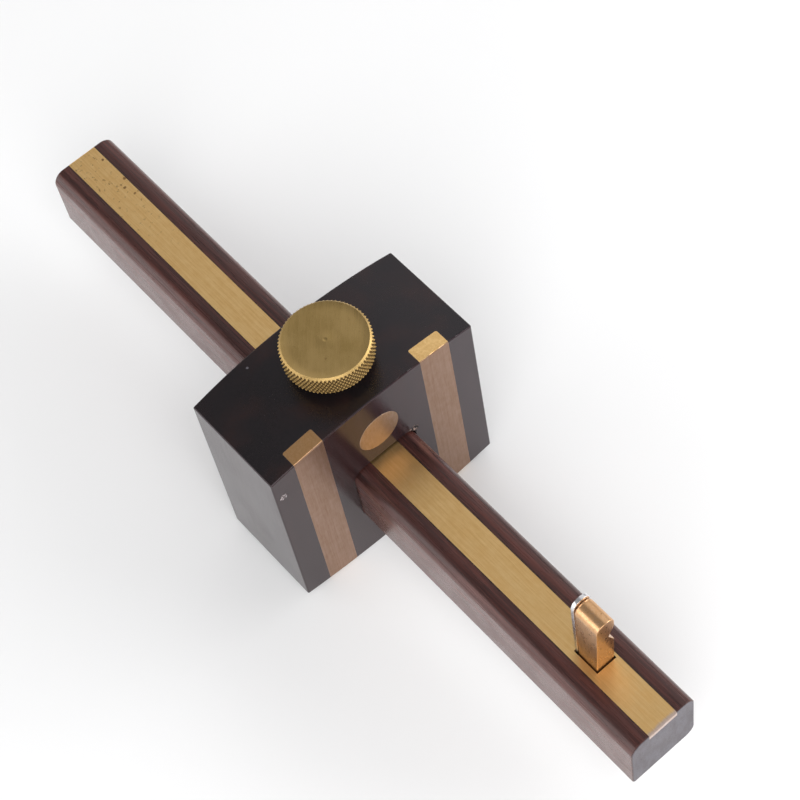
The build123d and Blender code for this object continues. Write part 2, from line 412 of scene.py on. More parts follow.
def edge_wear(tree, vector, radius, reach):
    """Where edges within a radius, in millimetres, are worn."""
    sockets = {"Vector": vector, "Radius": radius * MM, "Reach": reach}
    return use_group(tree, "Edge wear", sockets)["Mask"]


def small_mark(tree, vector, place, radius, raggedness):
    """A single small mark, its place and radius in millimetres."""
    sockets = {"Vector": vector, "Place": place, "Radius": radius, "Raggedness": raggedness}
    return use_group(tree, "Small mark", sockets)["Mask"]


def new_finish(name, **fixed):
    """A material with a Principled BSDF; the fixed values go straight on its sockets."""
    material = bpy.data.materials.new(name)
    material.use_nodes = True
    tree = material.node_tree
    surface = tree.nodes["Principled BSDF"]
    for label, value in fixed.items():
        surface.inputs[label.replace("_", " ")].default_value = value
    return material, tree, surface.inputs


def feed(tree, sockets, outputs):
    """Joins outputs to the sockets they are named for."""
    for label, output in outputs.items():
        tree.links.new(output, sockets[label])


# ---- shared effects


def build_edge_wear_group():
    """Edge wear: a mask that is 1 where the surface turns within a small radius, broken up by noise."""
    inputs = {"Vector": ORIGIN, "Radius": 0.4 * MM, "Reach": 0.12}
    tree, given, out = new_group("Edge wear", inputs, ["Mask"])
    rounded = put(tree, "Bevel", {"Radius": given["Radius"]}, samples=4).outputs[0]
    plain = put(tree, "NewGeometry").outputs["Normal"]
    sockets = {0: rounded, 1: plain}
    agreement = put(tree, "VectorMath", sockets, operation="DOT_PRODUCT").outputs["Value"]
    turn = maths(tree, "SUBTRACT", 1.0, agreement)
    edge = maths(tree, "DIVIDE", turn, given["Reach"])
    broken = spread(tree, noise(tree, given["Vector"], 0.9, 4.0, 0.6), 0.30, 0.62, 0.25, 1.0)
    mask = maths(tree, "MULTIPLY", edge, broken)
    feed(tree, out, {"Mask": put(tree, "Clamp", {0: mask}).outputs[0]})


def build_wood_grain_group():
    """Wood grain: wavering growth lines, soft figure and short dark pores along one stretched axis."""
    tree, given, out = new_group(
        "Wood grain", {"Vector": ORIGIN, **ROSEWOOD_GRAIN}, ["Lines", "Figure", "Pores", "Height"]
    )
    sway = put(tree, "TexNoise", {"Vector": given["Vector"], "Scale": 0.25, "Detail": 2.0}).outputs[1]
    sockets = {0: sway, 1: (1.6, 1.6, 1.6), 2: given["Vector"]}
    vector = put(tree, "VectorMath", sockets, operation="MULTIPLY_ADD").outputs[0]
    lines = noise(tree, vector, given["Line Scale"], 5.0, 0.62)
    figure = noise(tree, vector, given["Figure Scale"], 3.0, 0.5, 0.4)
    pore_noise = noise(tree, vector, given["Pore Scale"], 2.0, 0.5)
    bare = maths(tree, "SUBTRACT", 1.0, given["Pore Share"])
    pores = spread(tree, pore_noise, maths(tree, "MULTIPLY", bare, 0.9), maths(tree, "ADD", bare, 0.12))
    outputs = {
        "Lines": spread(tree, lines, 0.36, 0.66),
        "Figure": spread(tree, figure, 0.38, 0.68),
        "Pores": pores,
        "Height": maths(tree, "MULTIPLY_ADD", lines, 0.5, maths(tree, "MULTIPLY", pores, -1.0)),
    }
    feed(tree, out, outputs)


def build_rubbed_metal_group():
    """Rubbed metal: fine parallel scratches, a soft mottle and a few specks of tarnish."""
    inputs = {"Scratches": ORIGIN, "Vector": ORIGIN, **KNOB_RUB}
    tree, given, out = new_group("Rubbed metal", inputs, ["Streak", "Mottle", "Specks", "Height"])
    fine = noise(tree, given["Scratches"], given["Scratch Scale"], 4.0, 0.65)
    coarse_scale = maths(tree, "MULTIPLY", given["Scratch Scale"], 0.22)
    coarse = noise(tree, given["Scratches"], coarse_scale, 3.0, 0.6)
    both = maths(tree, "MULTIPLY_ADD", coarse, 0.6, maths(tree, "MULTIPLY", fine, 0.6))
    mottle = noise(tree, given["Vector"], given["Mottle Scale"], 5.0, 0.6)
    speck_noise = noise(tree, given["Vector"], given["Speck Scale"], 5.0, 0.7)
    bare = maths(tree, "SUBTRACT", 1.0, given["Speck Share"])
    outputs = {
        "Streak": spread(tree, both, 0.42, 0.78),
        "Mottle": spread(tree, mottle, 0.3, 0.7),
        "Specks": spread(tree, speck_noise, maths(tree, "MULTIPLY", bare, 0.88), bare),
        "Height": both,
    }
    feed(tree, out, outputs)


def build_mark_group():
    """A single small mark: 1 within a ragged patch round a point, 0 outside it."""
    inputs = {"Vector": ORIGIN, "Place": ORIGIN, "Radius": 1.0, "Raggedness": 0.5}
    tree, given, out = new_group("Small mark", inputs, ["Mask"])
    sockets = {0: given["Vector"], 1: given["Place"]}
    away = put(tree, "VectorMath", sockets, operation="DISTANCE").outputs["Value"]
    ragged = noise(tree, given["Vector"], 2.4, 3.0, 0.6)
    wobble = maths(tree, "MULTIPLY", maths(tree, "SUBTRACT", ragged, 0.5), given["Raggedness"])
    share = maths(tree, "ADD", maths(tree, "DIVIDE", away, given["Radius"]), wobble)
    feed(tree, out, {"Mask": spread(tree, share, 0.75, 1.05, 1.0, 0.0)})


# ---- finishes


def ebony_finish(colours):
    """Head: near-black wood, upright grain, faint red-brown figure, worn edges, three marks, one with a
    painted glint.
    """
    material, tree, surface = new_finish("ebony", IOR=1.47, Specular_Tint=(1.0, 0.94, 1.0, 1.0))
    plain = placed(tree)
    grain = use_group(tree, "Wood grain", {"Vector": placed(tree, (1.0, 1.0, 0.05)), **EBONY_GRAIN})
    end_face = spread(tree, facing(tree, 2), 0.80, 0.95)
    ground = blend(tree, end_face, colours.ebony_side, colours.ebony)
    figured = blend(tree, grain["Figure"], ground, colours.ebony_warm, 0.6)
    lined = blend(tree, grain["Lines"], figured, EBONY_LINE, 0.35)
    pored = blend(tree, grain["Pores"], lined, EBONY_PORE, 0.5)
    edged = blend(tree, edge_wear(tree, plain, 0.5, 0.16), pored, EBONY_WEAR, 0.22)
    ding_and_glint, chip, speck = (small_mark(tree, plain, *mark) for mark in (DING_AND_GLINT, CHIP, SPECK))
    flecks = spread(tree, noise(tree, plain, 1.7, 2.0), 0.50, 0.62)
    chipped = blend(tree, chip, edged, blend(tree, flecks, *CHIP_COLOURS))
    # The dent's pale colour is a painted glint
    glinting_ding = blend(tree, ding_and_glint, chipped, blend(tree, flecks, *DING_AND_GLINT_COLOURS), 0.85)
    specked = blend(tree, speck, glinting_ding, SPECK_COLOUR, 0.6)
    smear = spread(tree, noise(tree, plain, 0.06, 2.0), 0.3, 0.7, 0.17, 0.21)
    grained = maths(tree, "MULTIPLY_ADD", grain["Lines"], 0.03, smear)
    end_rough = maths(tree, "MULTIPLY_ADD", end_face, 0.08, grained)
    marked = maths(tree, "MAXIMUM", ding_and_glint, chip)
    rough = maths(tree, "MULTIPLY_ADD", marked, 0.5, end_rough)
    relief = bump(tree, grain["Height"], 0.004, 0.5)
    pitted = bump(tree, maths(tree, "MULTIPLY", marked, -1.0), 0.3, 1.0, relief)
    feed(tree, surface, {"Base Color": specked, "Roughness": rough, "Normal": pitted})
    return material


def rosewood_finish(colours):
    """Beam: red-brown wood with dark lines and red streaks lengthwise; sanded ends grey partly by
    painted reflection.
    """
    material, tree, surface = new_finish("rosewood", IOR=1.54, Specular_Tint=(1.0, 0.80, 0.78, 1.0))
    along = placed(tree, (0.035, 1.0, 1.0), (3.0, 7.0, 2.0))
    plain = placed(tree)
    place = put(tree, "SeparateXYZ", {0: plain}).outputs
    grain = use_group(tree, "Wood grain", {"Vector": along, **ROSEWOOD_GRAIN})
    streaks = spread(tree, noise(tree, along, 0.40, 2.0, 0.45, 0.2), 0.52, 0.64)
    lined = blend(tree, grain["Lines"], colours.rosewood_dark, colours.rosewood)
    streaked = blend(tree, streaks, lined, colours.rosewood_red, 0.45)
    # Side-facing surfaces take the lighter side colour: a painted reflection of the floor
    side = spread(tree, facing(tree, 1), 0.72, 0.98)
    painted_light_tone = blend(tree, side, streaked, colours.rosewood_side_lit, 0.62)
    sway = noise(tree, placed(tree, (0.03, 0.0, 0.0)), 0.8, 2.0)
    above_band = maths(tree, "SUBTRACT", place[2], BAND_HEIGHT)
    off_band = maths(tree, "ABSOLUTE", maths(tree, "MULTIPLY_ADD", sway, BAND_SWAY, above_band))
    band = spread(tree, off_band, 0.15, 0.75, 0.55, 0.0)
    banded = blend(tree, band, painted_light_tone, colours.rosewood_band, side)
    pored = blend(tree, grain["Pores"], banded, ROSEWOOD_PORE, 0.6)
    edged = blend(tree, edge_wear(tree, plain, 0.4, 0.14), pored, ROSEWOOD_WEAR, 0.25)
    from_strip = maths(tree, "SUBTRACT", maths(tree, "ABSOLUTE", place[1]), STRIP[1].y / MM)
    ragged = noise(tree, placed(tree, (0.5, 0.5, 0.5)), 1.0, 3.0, 0.6)
    glue_edge = maths(tree, "MULTIPLY_ADD", ragged, 1.1, maths(tree, "MULTIPLY", from_strip, -1.0))
    top = BEAM[1].z / MM
    on_top = spread(tree, place[2], top - 2.2, top - 1.9)
    glue = maths(tree, "MULTIPLY", spread(tree, glue_edge, 0.15, 0.45), on_top)
    glued = blend(tree, glue, edged, GLUE, 0.8)
    # Beam ends: sanded end grain with rings and pores; its grey is partly a painted reflection
    ringed = noise(tree, placed(tree, (0.1, 1.0, 0.35)), 0.55, 3.0, 0.5, 0.3)
    sanded_and_sheen = blend(tree, spread(tree, ringed, 0.35, 0.7, 0.0, 0.35), colours.end_grain_and_sheen, END_RING)
    speckled = noise(tree, plain, 2.2, 4.0, 0.6)
    open_pores = blend(tree, spread(tree, speckled, 0.56, 0.70, 0.0, 0.5), sanded_and_sheen, END_PORE)
    half = (BEAM[1].x - BEAM[0].x) / 2 / MM
    from_middle = maths(tree, "ABSOLUTE", maths(tree, "SUBTRACT", place[0], middle(BEAM).x / MM))
    end = spread(tree, from_middle, half - 0.22, half - 0.06)
    coloured = blend(tree, end, glued, open_pores)
    smear = spread(tree, noise(tree, plain, 0.10), 0.3, 0.7, 0.20, 0.28)
    side_rough = maths(tree, "MULTIPLY_ADD", grain["Lines"], 0.06, smear)
    rough = maths(tree, "MULTIPLY_ADD", end, 0.28, side_rough)
    relief = bump(tree, grain["Height"], 0.012, 0.7)
    feed(tree, surface, {"Base Color": coloured, "Roughness": rough, "Normal": relief})
    return material


def rubbed_brass_finish(name, base, colours, fade=None, relief=0.004, marks=(), face=None):
    """Brass rubbed one way: fine scratches, mottle, brown specks and brighter worn edges.

    fade is the range of X over which the specks die away. marks are single specks, each a
    place and a radius. face is the colour of a dulled front end, on the fence strips also
    painted shade, and the range of X over which it sets in. All lengths are in millimetres.
    """
    stretch, roughness, tarnish = RUBBED[name]
    material, tree, surface = new_finish(name, Metallic=1.0)
    plain = placed(tree)
    along = put(tree, "SeparateXYZ", {0: plain}).outputs[0]
    scratches = placed(tree, stretch)
    patterns = {"Scratches": scratches, "Vector": plain, "Speck Share": tarnish, **BRASS_RUB}
    rub = use_group(tree, "Rubbed metal", patterns)
    ground = base
    if face is not None:
        # The front end's colour: on the fence strips, dull brass darkened as painted shade
        front_end_colour, rear, front = face
        ragged = maths(tree, "MULTIPLY_ADD", noise(tree, plain, 0.7), front - rear, along)
        onset = (rear + front) / 2
        ground = blend(tree, spread(tree, ragged, onset, onset + front - rear), base, front_end_colour)
    mottled = blend(tree, rub["Mottle"], tinted(tree, ground, MOTTLE_SHARES), ground)
    brightened = tinted(tree, mottled, BRIGHT_SHARES)
    streaked = blend(tree, rub["Streak"], tinted(tree, mottled, SHADED_SHARES), brightened)
    stained = maths(tree, "MULTIPLY", rub["Specks"], 0.75)
    if fade is not None:
        stained = maths(tree, "MULTIPLY", stained, spread(tree, along, *fade, 1.0, 0.0))
    for place, radius in marks:
        spot = maths(tree, "MULTIPLY", small_mark(tree, plain, place, radius, 1.1), 0.85)
        stained = maths(tree, "MAXIMUM", stained, spot)
    tarnished = blend(tree, stained, streaked, colours.tarnish)
    edged = blend(tree, edge_wear(tree, plain, 0.25, 0.12), tarnished, brightened, 0.55)
    streak_rough = maths(tree, "MULTIPLY_ADD", rub["Streak"], -0.08, roughness + 0.07)
    mottled_rough = maths(tree, "MULTIPLY_ADD", rub["Mottle"], -0.06, streak_rough)
    rough = maths(tree, "MULTIPLY_ADD", stained, 0.2, mottled_rough)
    scratched = bump(tree, rub["Height"], relief, 0.8)
    feed(tree, surface, {"Base Color": edged, "Roughness": rough, "Normal": scratched})
    return material


def turned_brass_finish(name, base, colours):
    """Knob brass: yellow-green, faint brush marks on the face, painted shade in the knurl's grooves."""
    material, tree, surface = new_finish(name, Metallic=1.0)
    plain = placed(tree, offset=tuple(-value / MM for value in middle(KNOB)))
    brushed = placed(tree, (0.09, 1.0, 1.0), turn=-139.0)
    rub = use_group(tree, "Rubbed metal", {"Scratches": brushed, "Vector": plain, **KNOB_RUB})
    place = put(tree, "SeparateXYZ", {0: plain}).outputs
    across = maths(tree, "POWER", place[0], 2.0)
    along = maths(tree, "POWER", place[1], 2.0)
    radius = maths(tree, "SQRT", maths(tree, "ADD", across, along))
    outer = (KNOB[1].x - KNOB[0].x) / 2 / MM
    depth = maths(tree, "SUBTRACT", outer, radius)
    half_height = (KNOB[1].z - KNOB[0].z) / 2 / MM
    level = maths(tree, "ABSOLUTE", place[2])
    on_side = spread(tree, level, half_height - 0.75, half_height - 0.55, 1.0, 0.0)
    groove = maths(tree, "MULTIPLY", spread(tree, depth, 0.12, 0.36), on_side)
    darker = tuple(value * share for value, share in zip(base, KNOB_DARKER))
    lighter = tuple(min(1.0, value * share) for value, share in zip(base, KNOB_LIGHTER))
    mottled = blend(tree, rub["Mottle"], darker, base)
    streaked = blend(tree, rub["Streak"], mottled, lighter, 0.35)
    specked = blend(tree, rub["Specks"], streaked, colours.tarnish, 0.5)
    # Painted shade darkens the knurl's grooves
    groove_shaded = blend(tree, groove, specked, KNURL_SHADE, 0.95)
    edged = blend(tree, edge_wear(tree, plain, 0.2, 0.15), groove_shaded, lighter, 0.45)
    sloping = spread(tree, facing(tree, 2), 0.80, 0.97, 0.46, 0.24)
    face_rough = maths(tree, "MULTIPLY_ADD", rub["Streak"], 0.10, sloping)
    rough = maths(tree, "MULTIPLY_ADD", groove, 0.25, face_rough)
    scratched = bump(tree, rub["Height"], 0.004, 0.6)
    feed(tree, surface, {"Base Color": edged, "Roughness": rough, "Normal": scratched})
    return material


def steel_finish(colours):
    """Knife: ground steel with cross scratches and a brighter stoned edge."""
    material, tree, surface = new_finish("tool_steel", Metallic=1.0)
    plain = placed(tree)
    cross = placed(tree, (1.0, 0.06, 1.0))
    rub = use_group(tree, "Rubbed metal", {"Scratches": cross, "Vector": plain, **STEEL_RUB})
    darker = tuple(value * STEEL_DARKER for value in colours.steel)
    ground = blend(tree, rub["Streak"], darker, colours.steel)
    painted_light_tone = blend(tree, rub["Specks"], ground, STEEL_STAIN, 0.6)
    edged = blend(tree, edge_wear(tree, plain, 0.15, 0.2), painted_light_tone, STEEL_WEAR, 0.6)
    rough = maths(tree, "MULTIPLY_ADD", rub["Streak"], -0.08, 0.28)
    scratched = bump(tree, rub["Height"], 0.0015, 0.6)
    feed(tree, surface, {"Base Color": edged, "Roughness": rough, "Normal": scratched})
    return material


# ---- shapes


def round_axis(radius, angle, z):
    """Points at a radius, angle and height round the upright axis, row after row."""
    spaced = np.broadcast_arrays(radius * np.cos(angle), radius * np.sin(angle), z)
    return np.stack(spaced, axis=-1).reshape(-1, 3)


def knurled_ring(sizes, outer, low, high):
    """Side of the knob, chamfer to chamfer, as rings of radii over angle and height.

    Two families of steep V grooves cross at the same pitch, one climbing to the right and
    one to the left. A point's height above the groove floor is the lesser of the two families'
    triangle waves, which leaves four-sided pyramids; their tips are a little flattened. The
    chamfers are cones that then cut the knurl, so the radius is the least of the three.
    """
    steps = 8
    flat_top = 0.88
    columns = sizes.knurl_count * steps
    pitch = 2 * math.pi * outer / sizes.knurl_count
    rows = int(round((high - low) / (pitch * sizes.knurl_stretch) * steps)) + 1
    row, column = np.meshgrid(np.arange(rows), np.arange(columns), indexing="ij")
    z = low + (high - low) * row / (rows - 1)
    right_hand = np.abs((column + row) % steps / steps * 2 - 1)
    left_hand = np.abs((column - row) % steps / steps * 2 - 1)
    relief = np.minimum(np.minimum(right_hand, left_hand), flat_top)
    radius = outer - sizes.knurl_depth * (flat_top - relief)
    narrow = outer - sizes.knob_chamfer
    radius = np.minimum(radius, np.minimum(narrow + (high - z), narrow + (z - low)))
    angle = column * 2 * math.pi / columns
    here = row[:-1] * columns + column[:-1]
    following = row[:-1] * columns + (column[:-1] + 1) % columns
    falling = (column[:-1] + row[:-1] + 1) % (steps // 2) == 0
    above = here + columns
    above_following = following + columns
    first = np.stack((here, following, np.where(falling, above, above_following)), axis=-1)
    second = np.stack((np.where(falling, following, here), above_following, above), axis=-1)
    faces = np.concatenate((first.reshape(-1, 3), second.reshape(-1, 3)))
    return round_axis(radius, angle, z), faces, columns


def turned_rings(profile, columns):
    """Rings of a turned surface: each (radius, height) of the profile swept round the axis."""
    radius, z = np.array(profile).T
    angle = np.arange(columns) * 2 * math.pi / columns
    return round_axis(radius[:, None], angle, z[:, None])


def closed_on_axis(rings, columns, box, first_height, last_height):
    """Rings closed by a pole on the axis at each end, moved to a box's middle, and the poles' fans."""
    poles = [(0.0, 0.0, first_height), (0.0, 0.0, last_height)]
    points = np.concatenate((rings, poles))
    points[:, :2] += middle(box)[:2]
    count = len(rings)
    fans = (pole_faces(0, columns, count), pole_faces(count - columns, columns, count + 1))
    return points, np.concatenate(fans)


def knob_shape(sizes):
    """The knob, from the roof of its socket out over the knurl and in to the face's centre."""
    low, high = KNOB[0].z, KNOB[1].z
    outer = (KNOB[1].x - KNOB[0].x) / 2
    socket = (SHANK[1].x - SHANK[0].x) / 2
    side, knurl, columns = knurled_ring(sizes, outer, low, high)
    rim = outer - sizes.knob_chamfer
    edge = sizes.knob_edge
    face = high - sizes.knob_face_drop
    pip, pip_depth = sizes.pip_radius, sizes.pip_depth
    socket_break = 0.3 * MM
    hair = 0.01 * MM
    under = [
        (socket * 0.5, SHANK[1].z),
        (socket, SHANK[1].z),
        (socket, low + socket_break),
        (socket + socket_break, low + 2 * hair),
        (rim - 2 * edge, low + 2 * hair),
        (rim - edge / 2, low + hair),
    ]
    over = [
        (rim - edge / 2, high - hair),
        (rim - 2 * edge, face),
        *((radius, face) for radius in (rim * 0.8, rim * 0.55, rim * 0.3, pip * 2.0)),
        (pip * 1.35, high - hair / 2),
        (pip * 1.05, high - hair),
        (pip * 0.75, face - pip_depth * 0.5),
        (pip * 0.3, face - pip_depth * 0.95),
    ]
    rings = np.concatenate((turned_rings(under, columns), side, turned_rings(over, columns)))
    points, fans = closed_on_axis(rings, columns, KNOB, SHANK[1].z, face - pip_depth)
    count = len(rings) // columns
    knurl_first = len(under)
    knurl_last = knurl_first + len(side) // columns - 1
    ring = np.repeat(np.arange(count - 1), columns)
    smooth_quads = ring_faces(count, columns)[(ring < knurl_first) | (ring >= knurl_last)]
    return points, (knurl + knurl_first * columns, smooth_quads, fans), np.arange(len(knurl))


def screw_shape(sizes):
    """The screw: its radius follows a rounded right-hand thread that dies out at both ends.

    At angle a and height z the thread's phase is z over the pitch less a over a full turn.
    The radius falls below the crest by the depth times a power of one half of one plus the
    phase's cosine, and the depth dies out by a smooth step over the run-out at each end.
    """
    outer = (SHANK[1].x - SHANK[0].x) / 2
    crest = outer * 0.997
    columns = 48
    rows_per_turn = 16
    valley_power = 1.4
    edge = 0.25 * MM
    neck = 0.4 * MM
    foot = SHANK[0].z
    shoulder = foot + sizes.tip_length
    threaded_top = KNOB[0].z - neck
    rows = int(round((threaded_top - shoulder) / sizes.thread_pitch * rows_per_turn)) + 1
    z = np.linspace(shoulder + edge, threaded_top, rows)[:, None]
    angle = (np.arange(columns) * 2 * math.pi / columns)[None, :]
    phase = z / sizes.thread_pitch - angle / (2 * math.pi)
    from_ends = np.clip(np.minimum(z - z[0], z[-1] - z) / sizes.thread_runout, 0, 1)
    strength = from_ends**2 * (3 - 2 * from_ends)
    wave = (0.5 + 0.5 * np.cos(2 * math.pi * phase)) ** valley_power
    radius = crest - sizes.thread_depth * strength * wave
    thread = round_axis(radius, angle, z)
    tip = sizes.tip_diameter / 2
    tip_break = 0.2 * MM
    under = [
        (tip * 0.5, foot),
        (tip - tip_break, foot),
        (tip - tip_break * 0.3, foot + tip_break * 0.3),
        (tip, foot + tip_break),
        (tip, shoulder),
        (crest - edge, shoulder),
    ]
    over = [(crest, SHANK[1].z - edge), (crest - edge, SHANK[1].z), (outer * 0.5, SHANK[1].z)]
    rings = np.concatenate((turned_rings(under, columns), thread, turned_rings(over, columns)))
    points, fans = closed_on_axis(rings, columns, SHANK, foot, SHANK[1].z)
    return points, (ring_faces(len(rings) // columns, columns), fans)


def outline_normals(outline):
    """Outward direction at each point of an outline that runs clockwise seen from +X's end.

    It is the mean of the two neighbouring edges' normals, lengthened at a corner so that
    moving every point along it keeps the edges parallel.
    """
    after = np.roll(outline, -1, axis=0) - outline
    after = after / np.linalg.norm(after, axis=1)[:, None]
    normal = np.stack((-after[:, 1], after[:, 0]), axis=-1)
    total = normal + np.roll(normal, 1, axis=0)
    total = total / np.linalg.norm(total, axis=1)[:, None]
    return total / np.maximum((total * normal).sum(axis=1), 0.5)[:, None]


def carried_outline(outline, back, front, back_edge, front_edge):
    """A closed outline in (y, z) carried along X from the back face to the front one.

    back and front give x at each height. Both rims are quarter rounds: at angle a of the
    round the outline shrinks by the radius times one less the sine of a, and stands off the
    face by the radius times one less the cosine. The end faces are ladders of quads between
    points of equal height.
    """
    turns = np.radians(np.linspace(0, 90, 5))
    outward = outline_normals(outline)
    sections = []
    for angles, face, edge, into in ((turns, back, back_edge, 1), (turns[::-1], front, front_edge, -1)):
        for angle in angles:
            flat = outline - outward * edge * (1 - math.sin(angle))
            x = face(flat[:, 1]) + into * edge * (1 - math.cos(angle))
            sections.append(np.column_stack((x, flat)))
    count = len(outline)
    rungs = np.arange(count // 2 - 1)
    ladder = np.stack((rungs, rungs + 1, count - 2 - rungs, count - 1 - rungs), axis=-1)
    last = (len(sections) - 1) * count
    return np.concatenate(sections), (ring_faces(len(sections), count), ladder, ladder[:, ::-1] + last)


def wedge_shape(sizes):
    """The wedge: straight sides, a half-round head and a V notch in one side, tapered in front."""
    low, high = WEDGE
    half = (high.y - low.y) / 2
    centre = middle(WEDGE).y
    beam_top = BEAM[1].z
    spring = high.z - half
    tip_flat = half * 0.05
    notch = [sizes.notch_bottom, sizes.notch_middle, sizes.notch_top]
    below = np.linspace(low.z, beam_top + sizes.notch_bottom, 12)
    within = beam_top + np.linspace(notch[:-1], notch[1:], 5).ravel()
    heights = np.unique(np.concatenate((below, within, [spring])).round(7))
    bite = np.interp(heights - beam_top, notch, [0.0, sizes.notch_depth, 0.0], left=0.0, right=0.0)
    turn = np.radians(np.linspace(180, 90, 15)[1:-1])
    head_y = half * np.cos(turn)
    head_z = spring + half * np.sin(turn)
    left = np.column_stack((np.full(len(heights), -half), heights))
    left = np.concatenate((left, np.column_stack((head_y, head_z)), [(-tip_flat, high.z)]))
    right = np.column_stack((half - bite, heights))
    right = np.concatenate((right, np.column_stack((-head_y, head_z)), [(tip_flat, high.z)]))
    outline = np.concatenate((left, right[::-1])) + (centre, 0.0)
    foot_front = high.x - (high.z - beam_top) * sizes.wedge_taper

    def front(z):
        return foot_front + (z - beam_top) * sizes.wedge_taper

    def back(z):
        return np.full_like(z, low.x)

    return carried_outline(outline, back, front, sizes.wedge_back_edge, sizes.wedge_edge)


def knife_shape(sizes):
    """The knife: a plate with round ends and a bevel at the foot on the side of the fence."""
    low, high = KNIFE
    half = (high.y - low.y) / 2
    centre = middle(KNIFE).y
    bevel_top = low.z + sizes.bevel_height
    turn = np.radians(np.linspace(2, 90, 15))
    foot = np.column_stack((-half * np.sin(turn), low.z + half * (1 - np.cos(turn))))
    top = np.column_stack((-half * np.sin(turn), high.z - half * (1 - np.cos(turn))))[::-1]
    straight = np.column_stack((np.full(3, -half), [bevel_top, bevel_top + MM, high.z - half - MM]))
    left = np.concatenate((foot, straight, top))
    right = left * (-1.0, 1.0)
    outline = np.concatenate((left, right[::-1])) + (centre, 0.0)
    ground = (high.x - low.x - sizes.bevel_land - sizes.knife_edge) / sizes.bevel_height

    def front(z):
        return np.full_like(z, high.x)

    def back(z):
        return low.x + np.maximum(0.0, bevel_top - z) * ground

    return carried_outline(outline, back, front, sizes.knife_edge * 0.4, sizes.knife_edge * 0.5)


# ---- stage


def studio_floor(material):
    """A round floor that curves up at its rim: nearly a quarter round swept about the upright axis."""
    level = CAD_BOX[0].z
    reach, curve = 2.2, 0.9
    rise = np.radians(np.linspace(0, 80, 14))
    flat = [(radius, level) for radius in (0.05, 0.3, 0.8, 1.6)]
    rim = [(reach + curve * math.sin(a), level + curve * (1 - math.cos(a))) for a in rise]
    columns = 96
    rings = turned_rings(flat + rim, columns)
    points = np.concatenate((rings, [(0.0, 0.0, level)]))
    faces = (ring_faces(len(flat + rim), columns), pole_faces(0, columns, len(points) - 1))
    add_object("floor", points, faces, material, sharp_angle=60)


def softbox(name, direction, distance, size, power):
    """A soft area light that looks at the head from a direction, hidden from the camera."""
    light = bpy.data.lights.new(name, "AREA")
    light.shape = "RECTANGLE"
    light.size, light.size_y = size
    light.energy = power
    lamp = bpy.data.objects.new(name, light)
    towards = Vector(direction).normalized()
    lamp.location = towards * distance
    lamp.rotation_mode = "QUATERNION"
    lamp.rotation_quaternion = towards.to_track_quat("Z", "Y")
    lamp.visible_camera = False
    bpy.context.scene.collection.objects.link(lamp)


def aimed_camera(stage):
    """A camera at an azimuth, elevation and distance from its aim, turned about its view."""
    azimuth, elevation, roll = stage.azimuth, stage.elevation, stage.roll
    across = math.cos(elevation)
    back = Vector((math.sin(azimuth) * across, -math.cos(azimuth) * across, math.sin(elevation)))
    level_right = (-back).cross(Vector((0, 0, 1))).normalized()
    level_up = level_right.cross(-back)
    up = level_up * math.cos(roll) + level_right * math.sin(roll)
    right = (-back).cross(up)
    data = bpy.data.cameras.new("camera")
    data.lens = stage.lens
    data.sensor_width = 36.0
    camera = bpy.data.objects.new("camera", data)
    turned = Matrix((right, up, back)).transposed().to_4x4()
    camera.matrix_world = Matrix.Translation(Vector(stage.aim) + back * stage.distance) @ turned
    bpy.context.scene.collection.objects.link(camera)
    bpy.context.scene.camera = camera


# ---- operators


class GAUGE_OT_effects(bpy.types.Operator):
    """Build the shared grain, wear, rubbing and mark effects"""

    bl_idname = "gauge.effects"
    bl_label = "Shared effects"

    def execute(self, context):
        build_edge_wear_group()
        build_wood_grain_group()
        build_rubbed_metal_group()
        build_mark_group()
        return {"FINISHED"}


class GAUGE_OT_woods(bpy.types.Operator):
    """Finish the ebony head and the rosewood beam"""

    bl_idname = "gauge.woods"
    bl_label = "Head and beam"

    def execute(self, context):
        colours = context.scene.gauge_colours
        finish_nodes(ebony_finish(colours), "head_block")
        finish_nodes(rosewood_finish(colours), "beam")
        return {"FINISHED"}


class GAUGE_OT_strips(bpy.types.Operator):
    """Finish the brass strips of the beam and the fence"""

    bl_idname = "gauge.strips"
    bl_label = "Brass strips"

    def execute(self, context):
        colours = context.scene.gauge_colours
        top = STRIP[1].z / MM
        rear, front = STRIP[0].x / MM, STRIP[1].x / MM
        lengthwise = rubbed_brass_finish(
            "brass_strip",
            colours.strip_brass,
            colours,
            fade=(rear + 12.0, rear + 55.0),
            relief=0.006,
            marks=[((rear + along, across, top), radius) for along, across, radius in STRIP_SPOTS],
            face=(colours.strip_end, front - 1.3, front - 0.2),
        )
        finish_nodes(lengthwise, "beam_strip")
        # The left strip gets the darker brass, painted shade; the right one the plain strip brass
        for side, base in (("left", colours.left_brass_shaded), ("right", colours.strip_brass)):
            # Both fence strips' faces take the dull fence brass, darkened as painted shade
            painted_light_tone = (colours.fence_brass_dull_and_shaded, -0.35, -0.10)
            upright = rubbed_brass_finish("brass_fence_" + side, base, colours, face=painted_light_tone)
            finish_nodes(upright, "wear_strip_" + side)
        return {"FINISHED"}


class GAUGE_OT_nut_and_shoe(bpy.types.Operator):
    """Finish the barrel nut and the pressure shoe"""

    bl_idname = "gauge.nut_and_shoe"
    bl_label = "Nut and shoe"

    def execute(self, context):
        colours = context.scene.gauge_colours
        nut = rubbed_brass_finish("brass_nut", colours.nut_brass, colours)
        finish_nodes(nut, "barrel_nut", "pressure_shoe")
        return {"FINISHED"}


